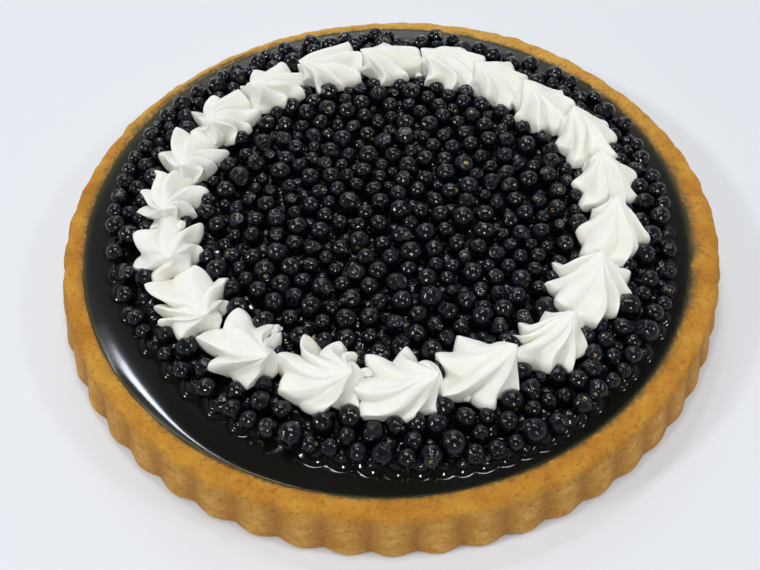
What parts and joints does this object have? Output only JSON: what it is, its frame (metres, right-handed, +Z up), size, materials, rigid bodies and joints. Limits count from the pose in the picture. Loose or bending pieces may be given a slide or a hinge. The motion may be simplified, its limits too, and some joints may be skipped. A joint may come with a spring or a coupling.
{
  "type": "blueberry cream cake",
  "caption": "Round fluted sponge case filled level with dark fruit jelly, under a low heap of small blueberries and a ring of piped whipped cream shells.",
  "frame": {"origin": "middle of the case's flat base", "axes": "+Z up, square to the base; the side shown nearest in the picture faces -Y"},
  "size_m": [0.2964, 0.2961, 0.0393],
  "materials": {
    "baked_sponge": "soft matt golden crust with fine pores",
    "fruit_jelly": "wet gloss, nearly black",
    "blueberry_skin": "glazed blue-black skin",
    "whipped_cream": "soft satin white"
  },
  "bodies": {
    "root": {"sponge_case": "baked_sponge", "fruit_jelly": "fruit_jelly", "berry_heap": "blueberry_skin", "cream_shell_01": "whipped_cream", "cream_shell_02": "whipped_cream", "cream_shell_03": "whipped_cream", "cream_shell_04": "whipped_cream", "cream_shell_05": "whipped_cream", "cream_shell_06": "whipped_cream", "cream_shell_07": "whipped_cream", "cream_shell_08": "whipped_cream", "cream_shell_09": "whipped_cream", "cream_shell_10": "whipped_cream", "cream_shell_11": "whipped_cream", "cream_shell_12": "whipped_cream", "cream_shell_13": "whipped_cream", "cream_shell_14": "whipped_cream", "cream_shell_15": "whipped_cream", "cream_shell_16": "whipped_cream", "cream_shell_17": "whipped_cream", "cream_shell_18": "whipped_cream", "cream_shell_19": "whipped_cream", "cream_shell_20": "whipped_cream"}
  },
  "joints": []
}
